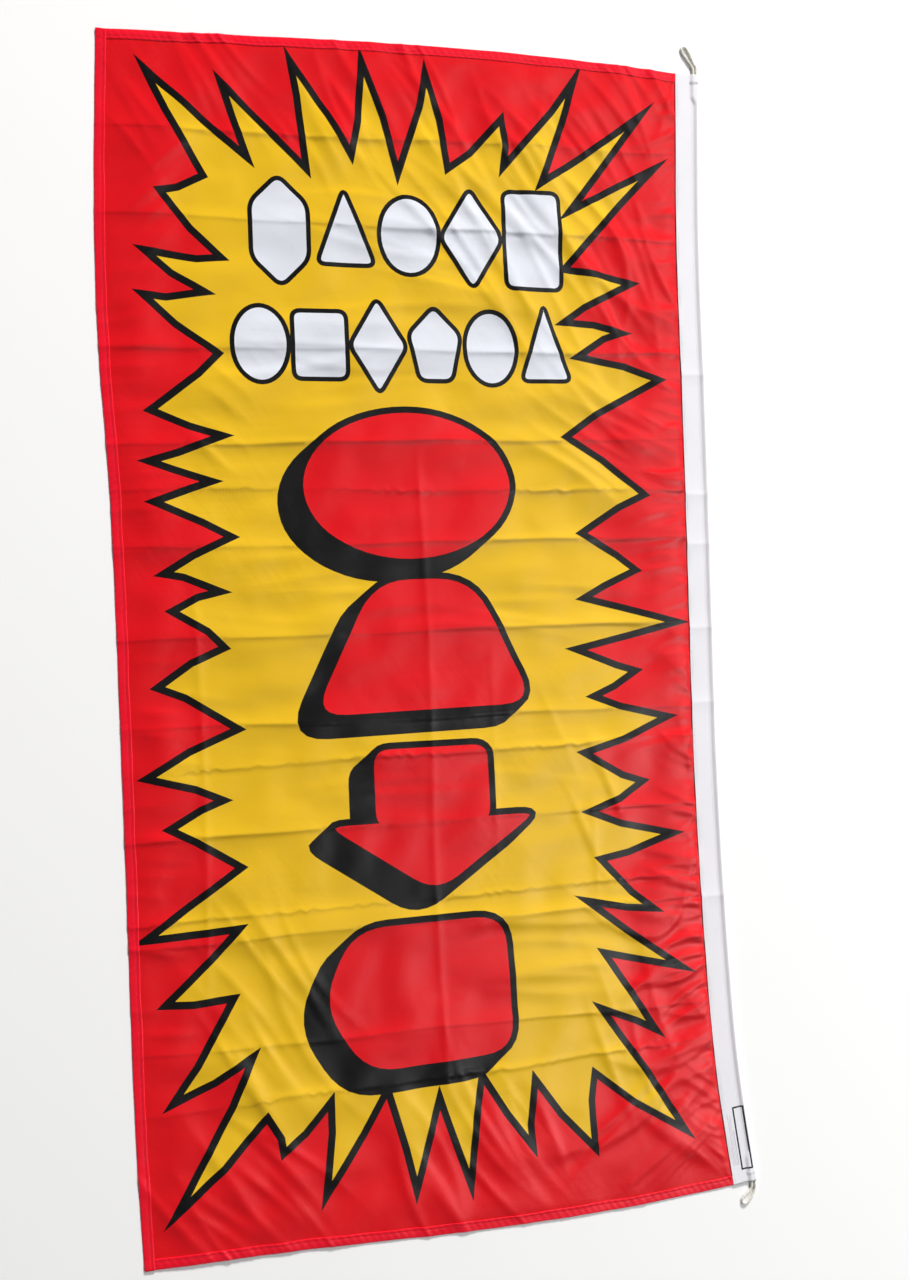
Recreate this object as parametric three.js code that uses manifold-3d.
// A rectangular printed banner flag, laid flat with its reverse side up.
// Millimetres. +Z is up, +Y is the top of the print, +X points to the hoist, which is the roped long edge.
// The origin is at the middle of the flag, on the surface that it lies on.
//
// The cloth is one knitted polyester panel with turned hems on three sides. A white tape is folded over the
// fourth side and holds a rope in a tunnel. The rope makes a small loop beyond each end of the tape.
import * as THREE from 'three';
import { mergeVertices } from 'three/addons/utils/BufferGeometryUtils.js';
import Module from 'manifold-3d';

const wasm = await Module();
wasm.setup();

// Cloth and tape
const clothThickness = 0.4;
const hemWidth = 15;
const hemLayers = 3;
const tapeThickness = 0.6;
const headingWidth = 40;
const clothInHeading = 26;
const seamClearance = 0.4;
const stepWidth = 2;
const gap = 0.3;

// Rope and its tunnel
const ropeRadius = 2;
const ropeClearance = 0.4;
const tunnelRadius = ropeRadius + ropeClearance + tapeThickness;
const tunnelFoot = 9.5;
const ropeSides = 12;
const loopSides = 8;
const loopSteps = 60;
const tailInset = 8;
const tailWidth = 5.4;
const tailLength = 35;
const strandOffset = 2.6;

// Threads and tacks
const threadWidth = 0.7;
const threadHeight = 0.3;
const hemRowInset = 10.5;
const seamRowInset = 37;
const tunnelRowInset = 11.5;
const rowFromEnd = 2;
const tackLength = 3;
const tackFromEnd = 12;
const tackInset = 14.5;

// Heights of the layers, from the surface up
const hemHeight = hemLayers * clothThickness;
const marginBottom = tapeThickness + gap;
const leafBottom = marginBottom + hemHeight + gap;
const leafTop = leafBottom + tapeThickness;

const edgeSteps = 28;

const up = new THREE.Vector3(0, 0, 1);
const curveThrough = (points) =>
  new THREE.CatmullRomCurve3(points.map(([x, y]) => new THREE.Vector3(x, y, 0)));

// A line that runs beside an edge of the flag, inset to the left of its direction and level with the surface.
// Its frames stay upright: a section's first axis points inwards over the flag and its second axis points up.
class InsetCurve extends THREE.Curve {
  constructor(edge, inset = 0, height = 0, from = 0, to = 1) {
    super();
    this.edge = edge;
    this.inset = inset;
    this.height = height;
    this.from = from;
    this.to = to;
  }

  getPoint(t, target = new THREE.Vector3()) {
    const along = THREE.MathUtils.lerp(this.from, this.to, t);
    const point = this.edge.getPointAt(along);
    const inwards = leftOf(this.edge.getTangentAt(along));
    return target.copy(point).addScaledVector(inwards, this.inset).setZ(this.height);
  }

  computeFrenetFrames(segments) {
    const tangents = [];
    const normals = [];
    const binormals = [];
    for (let i = 0; i <= segments; i += 1) {
      const tangent = this.getTangentAt(i / segments).setZ(0).normalize();
      tangents.push(tangent);
      normals.push(leftOf(tangent));
      binormals.push(up.clone());
    }
    return { tangents, normals, binormals };
  }
}

function leftOf(direction) {
  return new THREE.Vector3(-direction.y, direction.x, 0).normalize();
}

// The four edges of the flag as it lies, each running anticlockwise, so that the flag is on their left.
const hoistEdge = curveThrough([
  [485.5, -896], [464.5, -700], [456.5, -490], [454, -250], [458.5, 0], [465, 300], [469.5, 600], [483, 896],
]);
const share = (millimetres) => millimetres / hoistEdge.getLength();
const seamInset = headingWidth + seamClearance + stepWidth / 2;
const lowerCorner = new InsetCurve(hoistEdge, seamInset).getPoint(0);
const upperCorner = new InsetCurve(hoistEdge, seamInset).getPoint(1);
const bottomEdge = curveThrough([
  [-468, -894], [-270, -897], [0, -908], [150, -910], [290, -908], [lowerCorner.x, lowerCorner.y],
]);
const topEdge = curveThrough([
  [upperCorner.x, upperCorner.y], [300, 905], [145, 909.6], [-50, 908.6], [-290, 901], [-473, 896],
]);
const flyEdge = curveThrough([
  [-473, 896], [-484, 620], [-485, 440], [-476, 200], [-473.5, -250], [-473, -700], [-468, -894],
]);

function rectangle(insetFrom, insetTo, bottom, top) {
  const shape = new THREE.Shape();
  shape.moveTo(insetFrom, bottom);
  shape.lineTo(insetTo, bottom);
  shape.lineTo(insetTo, top);
  shape.lineTo(insetFrom, top);
  return shape;
}

function roundSection(radius, sides) {
  const shape = new THREE.Shape();
  for (let i = 0; i < sides; i += 1) {
    const angle = (2 * Math.PI * i) / sides;
    shape[i === 0 ? 'moveTo' : 'lineTo'](radius * Math.cos(angle), radius * Math.sin(angle));
  }
  return shape;
}

function sweep(section, path, steps = edgeSteps) {
  return new THREE.ExtrudeGeometry(section, { extrudePath: path, steps, curveSegments: 6 });
}

function solidFrom(geometry) {
  const bare = geometry.clone();
  bare.deleteAttribute('normal');
  bare.deleteAttribute('uv');
  const merged = mergeVertices(bare);
  return new wasm.Manifold(new wasm.Mesh({
    numProp: 3,
    vertProperties: Float32Array.from(merged.attributes.position.array),
    triVerts: Uint32Array.from(merged.index.array),
  }));
}

function geometryFrom(solid) {
  const made = solid.getMesh();
  const geometry = new THREE.BufferGeometry();
  geometry.setAttribute('position', new THREE.Float32BufferAttribute(made.vertProperties, 3));
  geometry.setIndex(new THREE.Uint32BufferAttribute(made.triVerts, 1));
  geometry.computeVertexNormals();
  return geometry;
}

// The cloth's panel up to the tape, flat on the surface.
function clothPanel() {
  const seamLine = new InsetCurve(hoistEdge, seamInset).getSpacedPoints(edgeSteps);
  const outline = [
    ...bottomEdge.getSpacedPoints(edgeSteps).slice(0, -1),
    ...seamLine.slice(0, -1),
    ...topEdge.getSpacedPoints(edgeSteps).slice(0, -1),
    ...flyEdge.getSpacedPoints(edgeSteps).slice(0, -1),
  ];
  const shape = new THREE.Shape(outline.map((point) => new THREE.Vector2(point.x, point.y)));
  return new THREE.ExtrudeGeometry(shape, { depth: clothThickness, bevelEnabled: false });
}

// A turned hem: further layers of the same cloth on top of the panel, along one edge.
function turnedHem(edge) {
  const foldInset = 0.2;
  const trim = 0.5 / edge.getLength();
  const section = rectangle(foldInset, hemWidth, clothThickness / 2, hemHeight);
  return sweep(section, new InsetCurve(edge, 0, 0, trim, 1 - trim));
}

// The cloth's hoist margin, which steps up beside the tape's edge and runs in between its two leaves.
// margin shrinks the section a little where it only adds the hems' layers to the margin's two ends.
function hoistMargin(top, from, to, steps, margin = 0) {
  const rawEdge = headingWidth - clothInHeading + margin;
  const stepFrom = headingWidth + seamClearance + margin;
  const stepTo = headingWidth + seamClearance + stepWidth - margin;
  const shape = new THREE.Shape();
  shape.moveTo(rawEdge, marginBottom + margin);
  shape.lineTo(stepFrom, marginBottom + margin);
  shape.lineTo(stepFrom, margin);
  shape.lineTo(stepTo, margin);
  shape.lineTo(stepTo, top);
  shape.lineTo(rawEdge, top);
  return sweep(shape, new InsetCurve(hoistEdge, 0, 0, from, to), steps);
}

function flagCloth() {
  const layerMargin = 0.1;
  const hemTop = marginBottom + hemHeight;
  const pieces = [
    turnedHem(bottomEdge),
    turnedHem(topEdge),
    turnedHem(flyEdge),
    hoistMargin(marginBottom + clothThickness, share(gap), 1 - share(gap), edgeSteps),
    hoistMargin(hemTop, share(2 * gap), share(hemWidth), 1, layerMargin),
    hoistMargin(hemTop, 1 - share(hemWidth), 1 - share(2 * gap), 1, layerMargin),
  ];
  const cloth = pieces.reduce((joined, piece) => joined.add(solidFrom(piece)), solidFrom(clothPanel()));
  return geometryFrom(cloth);
}

// The tape's section: a lower leaf, the round tunnel at the fold, and an upper leaf that comes down from it.
function headingTape() {
  const inside = ropeRadius + ropeClearance;
  const shape = new THREE.Shape();
  shape.moveTo(headingWidth, 0);
  shape.lineTo(tunnelRadius, 0);
  shape.absarc(tunnelRadius, tunnelRadius, tunnelRadius, -Math.PI / 2, Math.PI / 2, true);
  shape.lineTo(tunnelFoot, leafTop);
  shape.lineTo(headingWidth, leafTop);
  shape.lineTo(headingWidth, leafBottom);
  shape.lineTo(tunnelFoot, leafBottom);
  shape.lineTo(tunnelRadius, tunnelRadius + inside);
  shape.absarc(tunnelRadius, tunnelRadius, inside, Math.PI / 2, -Math.PI / 2, false);
  shape.lineTo(headingWidth, tapeThickness);
  return sweep(shape, new InsetCurve(hoistEdge));
}

function hoistRope() {
  return sweep(roundSection(ropeRadius, ropeSides), new InsetCurve(hoistEdge, tunnelRadius, tunnelRadius));
}

// The end of the rope, turned back into the heading after its loop and sewn flat beside the tunnel.
function ropeTail(from, to) {
  const tailSection = rectangle(tailInset, tailInset + tailWidth, marginBottom, marginBottom + hemHeight);
  return sweep(tailSection, new InsetCurve(hoistEdge, 0, 0, from, to), 2);
}

// A row of stitches as one continuous strip on a layer of the flag, from startGap to endGap short of the end.
function stitchRow(edge, inset, surfaceHeight, startGap = rowFromEnd, endGap = rowFromEnd) {
  const half = threadWidth / 2;
  const section = rectangle(-half, half, 0, threadHeight);
  const length = edge.getLength();
  const path = new InsetCurve(edge, inset, surfaceHeight + gap, startGap / length, 1 - endGap / length);
  return sweep(section, path);
}

// A dense bar of stitches over the tunnel and the tail, which follows the tape's upper side.
function ropeTack(from, to) {
  const shape = new THREE.Shape();
  const lower = tunnelRadius + gap;
  const upper = lower + threadHeight;
  const start = Math.PI * 0.85;
  shape.moveTo(tackInset, leafTop + gap);
  shape.lineTo(tunnelFoot, leafTop + gap);
  shape.lineTo(tunnelRadius, tunnelRadius + lower);
  shape.absarc(tunnelRadius, tunnelRadius, lower, Math.PI / 2, start, false);
  shape.absarc(tunnelRadius, tunnelRadius, upper, start, Math.PI / 2, true);
  shape.lineTo(tunnelFoot, leafTop + gap + threadHeight);
  shape.lineTo(tackInset, leafTop + gap + threadHeight);
  return sweep(shape, new InsetCurve(hoistEdge, 0, 0, from, to), 1);
}

// The rope beyond the tape. Both strands leave the tunnel's mouth side by side, so the loop is a closed ring
// whose root is an arc about its pivot. Each point is [towards the fly, away from the tape, height].
const rootCorner = strandOffset * Math.SQRT1_2;
const loopRoot = [
  [rootCorner, -rootCorner, tunnelRadius],
  [0, -strandOffset, tunnelRadius],
  [-rootCorner, -rootCorner, tunnelRadius],
];
const topLoopRoute = [
  [-strandOffset, 0, tunnelRadius], [-2.9, 8, 2.6], [1.2, 16.5, 2.1], [4.4, 24, 2.1], [7.7, 31.3, 2.1],
  [12, 38.6, 2.1], [15.4, 41.2, 2.1], [19, 40.9, 2.1], [21.3, 37.9, 2.1], [20.6, 33.8, 2.1],
  [16.3, 26.3, 2.1], [11.6, 19.8, 2.1], [6.8, 13.3, 2.1], [3.1, 7, 2.6], [strandOffset, 0, tunnelRadius],
];
const bottomLoopRoute = [
  [-strandOffset, 0, tunnelRadius], [-2.8, 6.5, 2.6], [0.4, 15, 2.1], [5.2, 21.9, 2.1], [11.6, 28.2, 2.1],
  [15.6, 30, 2.1], [19.2, 28.7, 2.1], [20.5, 25, 2.1], [18.6, 21, 2.1], [12.2, 14.9, 2.1], [5.9, 10, 2.1],
  [3, 5, 2.6], [strandOffset, 0, tunnelRadius],
];

// A tube along a closed curve has no ends, so it is one closed body.
function ropeLoop(route, outwards) {
  const points = [...route, ...loopRoot].map(([fly, out, z]) => new THREE.Vector3(-fly, outwards * out, z));
  const ring = new THREE.CatmullRomCurve3(points, true);
  return new THREE.TubeGeometry(ring, loopSteps, ropeRadius, loopSides, true);
}

// The pivot of a loop: midway between its two strands, just clear of the tape's end.
function loopPivot(end, outwards) {
  const betweenStrands = tunnelRadius + strandOffset;
  const fromTape = strandOffset + ropeRadius + gap;
  const mouth = new InsetCurve(hoistEdge, betweenStrands).getPoint(end);
  return mouth.add(new THREE.Vector3(0, outwards * fromTape, 0));
}

const materials = {
  cloth: new THREE.MeshStandardMaterial({ color: 0xdc2430, roughness: 0.55, metalness: 0 }),
  tape: new THREE.MeshStandardMaterial({ color: 0xf4f3f6, roughness: 0.85, metalness: 0 }),
  rope: new THREE.MeshStandardMaterial({ color: 0xe9e7e0, roughness: 0.8, metalness: 0 }),
  redThread: new THREE.MeshStandardMaterial({ color: 0xa8101c, roughness: 0.6, metalness: 0 }),
  whiteThread: new THREE.MeshStandardMaterial({ color: 0xf2f0f4, roughness: 0.6, metalness: 0 }),
};

const flag = new THREE.Group();

function addPart(name, geometry, material, parent = flag) {
  const mesh = new THREE.Mesh(geometry, material);
  mesh.name = name;
  parent.add(mesh);
}

function addLoop(name, route, end, outwards) {
  const pivot = new THREE.Group();
  pivot.position.copy(loopPivot(end, outwards));
  addPart(name, ropeLoop(route, outwards), materials.rope, pivot);
  flag.add(pivot);
}

const tailShare = share(tailLength);
const tackFrom = share(tackFromEnd);
const tackTo = share(tackFromEnd + tackLength);
const besideTack = tackFromEnd + 2 * tackLength;
const besideFlyHem = hemWidth + 2 * rowFromEnd;
const besideTape = 2 * rowFromEnd;

addPart('flag_cloth', flagCloth(), materials.cloth);
addPart('heading_tape', headingTape(), materials.tape);
addPart('hoist_rope', hoistRope(), materials.rope);
addPart('top_rope_tail', ropeTail(1 - tailShare, 1), materials.rope);
addPart('bottom_rope_tail', ropeTail(0, tailShare), materials.rope);
addLoop('top_loop', topLoopRoute, 1, 1);
addLoop('bottom_loop', bottomLoopRoute, 0, -1);

const topRow = stitchRow(topEdge, hemRowInset, hemHeight, besideTape, besideFlyHem);
const flyRow = stitchRow(flyEdge, hemRowInset, hemHeight);
const bottomRow = stitchRow(bottomEdge, hemRowInset, hemHeight, besideFlyHem, besideTape);
const seamRow = stitchRow(hoistEdge, seamRowInset, leafTop);
const tunnelRow = stitchRow(hoistEdge, tunnelRowInset, leafTop, besideTack, besideTack);
addPart('top_hem_thread', topRow, materials.redThread);
addPart('fly_hem_thread', flyRow, materials.redThread);
addPart('bottom_hem_thread', bottomRow, materials.redThread);
addPart('heading_seam_thread', seamRow, materials.whiteThread);
addPart('rope_tunnel_thread', tunnelRow, materials.whiteThread);
addPart('top_rope_tack', ropeTack(1 - tackTo, 1 - tackFrom), materials.whiteThread);
addPart('bottom_rope_tack', ropeTack(tackFrom, tackTo), materials.whiteThread);

export default flag;
